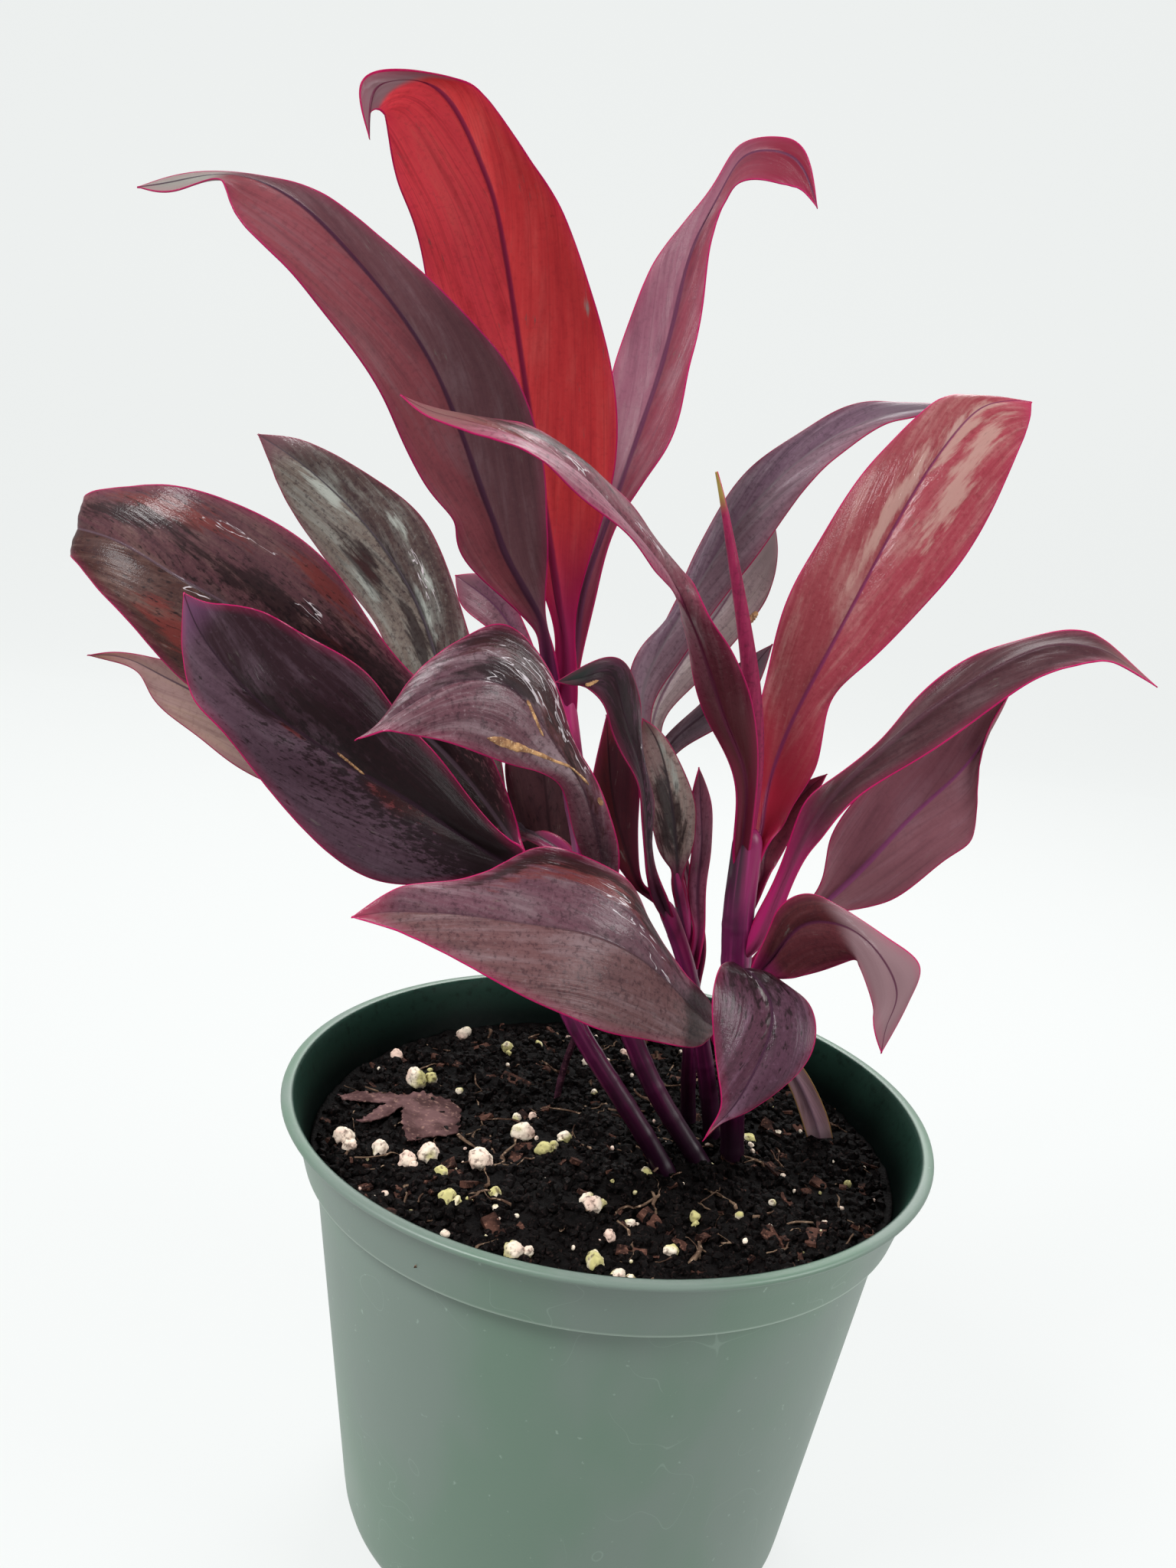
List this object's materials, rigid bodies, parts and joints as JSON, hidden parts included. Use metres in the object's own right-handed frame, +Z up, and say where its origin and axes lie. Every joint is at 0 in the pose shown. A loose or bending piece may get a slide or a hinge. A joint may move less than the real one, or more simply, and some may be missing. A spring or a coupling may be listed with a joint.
{
  "type": "potted ti plant",
  "caption": "Ti plant with broad arching plum, mauve and red leaves on slim canes, growing in a round moulded nursery pot of potting mix",
  "frame": {"origin": "centre of the pot's flat base", "axes": "+Z up, +X to the right and -Y towards the viewer of the picture"},
  "size_m": [0.255, 0.165, 0.355],
  "materials": {
    "pot": "moulded satin",
    "soil": "loose bark and peat mix",
    "cane": "smooth skin",
    "leaf_red": "satin",
    "leaf_plum": "satin",
    "leaf_mauve": "satin",
    "leaf_grey": "satin",
    "dry_leaf": "matt"
  },
  "bodies": {
    "root": {"cane_low": "cane", "cane_mid": "cane", "cane_right": "cane", "cane_tall": "cane", "dry_stalk": "dry_leaf", "dry_strip": "dry_leaf", "fallen_fragment": "dry_leaf", "leaf_bract": "leaf_red", "leaf_far_left": "leaf_mauve", "leaf_front_droop": "leaf_plum", "leaf_front_low": "leaf_plum", "leaf_front_scarred": "leaf_plum", "leaf_left_grey": "leaf_grey", "leaf_left_lower": "leaf_plum", "leaf_left_mauve": "leaf_mauve", "leaf_left_upper": "leaf_plum", "leaf_mid_brown": "leaf_plum", "leaf_mid_dark": "leaf_plum", "leaf_mid_green": "leaf_grey", "leaf_mid_mauve": "leaf_mauve", "leaf_mid_red": "leaf_red", "leaf_new_spike": "leaf_mauve", "leaf_right_arch": "leaf_red", "leaf_right_back": "leaf_mauve", "leaf_right_curl": "leaf_plum", "leaf_right_grey": "leaf_grey", "leaf_right_long": "leaf_mauve", "leaf_right_low_grey": "leaf_grey", "leaf_right_red": "leaf_red", "leaf_right_round": "leaf_grey", "leaf_tall_left": "leaf_mauve", "leaf_tall_red": "leaf_red", "leaf_tall_right": "leaf_mauve", "pot": "pot", "soil": "soil", "stalk_thin": "cane"}
  },
  "joints": []
}
